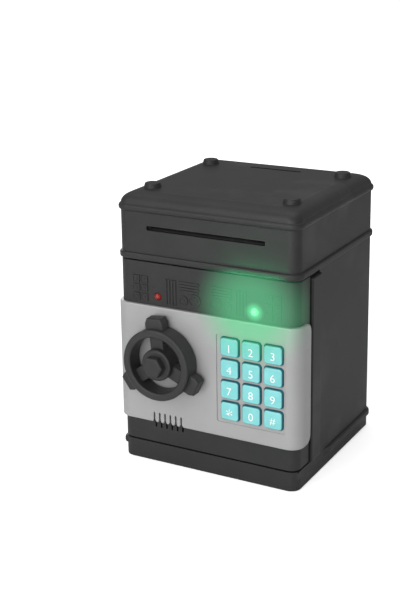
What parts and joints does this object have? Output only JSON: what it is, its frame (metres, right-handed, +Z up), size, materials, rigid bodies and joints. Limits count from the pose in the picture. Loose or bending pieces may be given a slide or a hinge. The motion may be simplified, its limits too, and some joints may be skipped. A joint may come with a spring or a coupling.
{
  "type": "toy savings bank",
  "caption": "Box-shaped toy safe bank with a hinged keypad door, a handwheel lock, a motorised banknote slot and a coin slot in the cap.",
  "frame": {"origin": "on the ground plane under the rubber feet, at the middle of the whole outline seen from above, handwheel included; the middle of the box itself is 8.85 mm behind it", "axes": "+Z up; -Y is the front, the side of the door, keypad and handwheel; +X is the hinge side of the door, on the right of someone facing the front"},
  "size_m": [0.1324, 0.145, 0.1862],
  "materials": {
    "case_plastic": "fine matte moulded ABS, dark charcoal",
    "inner_plastic": "plain moulded ABS, black",
    "guide_plastic": "smooth moulded acetal, grey",
    "pulley_plastic": "moulded acetal, off-white",
    "silver_plastic": "silver paint on moulded ABS, satin",
    "wheel_plastic": "moulded ABS, dark charcoal, satin",
    "key_plastic": "translucent teal, glossy",
    "rubber": "black rubber",
    "silicone": "translucent silicone",
    "steel": "zinc-plated steel",
    "screw_steel": "blackened self-tapping screw",
    "contact_metal": "nickel-plated spring steel",
    "cell_wrap": "printed film over a metal can, density near an AA cell's",
    "board": "green solder mask",
    "wire": "PVC-covered wire",
    "speaker": "paper cone in a black basket",
    "coil": "enamelled copper winding in a plated yoke",
    "lamp_green": "lit green lamp lens",
    "lamp_red": "unlit red lamp lens"
  },
  "bodies": {
    "housing": {"base_tray": "case_plastic", "body_shell": "case_plastic", "head_shell": "case_plastic", "top_cap": "case_plastic", "vault_floor": "inner_plastic", "mechanism_deck": "inner_plastic", "coin_chute": "inner_plastic", "bill_guide_lower": "guide_plastic", "bill_guide_upper": "guide_plastic", "roller_brackets": "guide_plastic", "feed_motor": "steel", "drive_belt": "rubber", "bill_sensor": "board", "control_board": "board", "batteries": "cell_wrap", "battery_contacts": "contact_metal", "wire_harness": "wire", "rubber_feet": "rubber", "body_screws": "screw_steel", "head_screws": "screw_steel", "cap_screws": "screw_steel"},
    "door": {"door_frame": "case_plastic", "front_plate": "silver_plastic", "door_back_cover": "inner_plastic", "door_board": "board", "keypad_mat": "silicone", "speaker": "speaker", "green_lamp": "lamp_green", "red_lamp": "lamp_red", "lock_coil": "coil", "lock_spring": "steel", "door_wires": "wire", "door_screws": "screw_steel", "hinge_pins": "steel"},
    "knob": {"handwheel": "wheel_plastic", "wheel_cap": "wheel_plastic", "wheel_shaft": "steel", "latch_lever": "steel"},
    "lock_plunger": {"lock_plunger": "steel"},
    "battery_lid": {"battery_lid": "case_plastic", "battery_lid_screw": "screw_steel"},
    "feed_roller": {"feed_shaft": "steel", "feed_rollers": "rubber", "feed_pulley": "pulley_plastic"},
    "pinch_roller": {"pinch_shaft": "steel", "pinch_rollers": "rubber"},
    "motor_rotor": {"motor_shaft": "steel", "motor_pulley": "pulley_plastic"},
    "key_1": {"key_1": "key_plastic"},
    "key_2": {"key_2": "key_plastic"},
    "key_3": {"key_3": "key_plastic"},
    "key_4": {"key_4": "key_plastic"},
    "key_5": {"key_5": "key_plastic"},
    "key_6": {"key_6": "key_plastic"},
    "key_7": {"key_7": "key_plastic"},
    "key_8": {"key_8": "key_plastic"},
    "key_9": {"key_9": "key_plastic"},
    "key_star": {"key_star": "key_plastic"},
    "key_0": {"key_0": "key_plastic"},
    "key_hash": {"key_hash": "key_plastic"}
  },
  "joints": [
    {"name": "door_hinge", "type": "hinge", "parent": "housing", "child": "door", "pos_m": [0.06, -0.04065, 0.076], "axis": [0, 0, 1], "range_deg": [0, 103]},
    {"name": "handwheel_turn", "type": "hinge", "parent": "door", "child": "knob", "pos_m": [-0.029, -0.05315, 0.075], "axis": [0, -1, 0], "range_deg": [0, 90]},
    {"name": "lock_slide", "type": "slide", "parent": "door", "child": "lock_plunger", "axis": [0, 0, -1], "range_m": [0, 0.004], "deforming": ["lock_spring"]},
    {"name": "battery_lid_hinge", "type": "hinge", "parent": "housing", "child": "battery_lid", "pos_m": [0, 0.04085, 0.002], "axis": [1, 0, 0], "range_deg": [0, 75]},
    {"name": "feed_spin", "type": "hinge", "parent": "housing", "child": "feed_roller", "pos_m": [0, -0.02915, 0.15435], "axis": [1, 0, 0], "continuous": true},
    {"name": "pinch_spin", "type": "hinge", "parent": "housing", "child": "pinch_roller", "pos_m": [0, -0.02915, 0.16665], "axis": [1, 0, 0], "continuous": true},
    {"name": "motor_spin", "type": "hinge", "parent": "housing", "child": "motor_rotor", "pos_m": [-0.05, 0.02285, 0.156], "axis": [1, 0, 0], "continuous": true},
    {"name": "key_1_press", "type": "slide", "parent": "door", "child": "key_1", "axis": [0, 1, 0], "range_m": [0, 0.0012], "stiffness_N_per_m": 300, "springref_m": -0.0008},
    {"name": "key_2_press", "type": "slide", "parent": "door", "child": "key_2", "axis": [0, 1, 0], "range_m": [0, 0.0012], "stiffness_N_per_m": 300, "springref_m": -0.0008},
    {"name": "key_3_press", "type": "slide", "parent": "door", "child": "key_3", "axis": [0, 1, 0], "range_m": [0, 0.0012], "stiffness_N_per_m": 300, "springref_m": -0.0008},
    {"name": "key_4_press", "type": "slide", "parent": "door", "child": "key_4", "axis": [0, 1, 0], "range_m": [0, 0.0012], "stiffness_N_per_m": 300, "springref_m": -0.0008},
    {"name": "key_5_press", "type": "slide", "parent": "door", "child": "key_5", "axis": [0, 1, 0], "range_m": [0, 0.0012], "stiffness_N_per_m": 300, "springref_m": -0.0008},
    {"name": "key_6_press", "type": "slide", "parent": "door", "child": "key_6", "axis": [0, 1, 0], "range_m": [0, 0.0012], "stiffness_N_per_m": 300, "springref_m": -0.0008},
    {"name": "key_7_press", "type": "slide", "parent": "door", "child": "key_7", "axis": [0, 1, 0], "range_m": [0, 0.0012], "stiffness_N_per_m": 300, "springref_m": -0.0008},
    {"name": "key_8_press", "type": "slide", "parent": "door", "child": "key_8", "axis": [0, 1, 0], "range_m": [0, 0.0012], "stiffness_N_per_m": 300, "springref_m": -0.0008},
    {"name": "key_9_press", "type": "slide", "parent": "door", "child": "key_9", "axis": [0, 1, 0], "range_m": [0, 0.0012], "stiffness_N_per_m": 300, "springref_m": -0.0008},
    {"name": "key_star_press", "type": "slide", "parent": "door", "child": "key_star", "axis": [0, 1, 0], "range_m": [0, 0.0012], "stiffness_N_per_m": 300, "springref_m": -0.0008},
    {"name": "key_0_press", "type": "slide", "parent": "door", "child": "key_0", "axis": [0, 1, 0], "range_m": [0, 0.0012], "stiffness_N_per_m": 300, "springref_m": -0.0008},
    {"name": "key_hash_press", "type": "slide", "parent": "door", "child": "key_hash", "axis": [0, 1, 0], "range_m": [0, 0.0012], "stiffness_N_per_m": 300, "springref_m": -0.0008}
  ],
  "couplings": [
    {"joint": "pinch_spin", "follows": "feed_spin", "ratio": -1.4},
    {"joint": "motor_spin", "follows": "feed_spin", "ratio": 2}
  ]
}
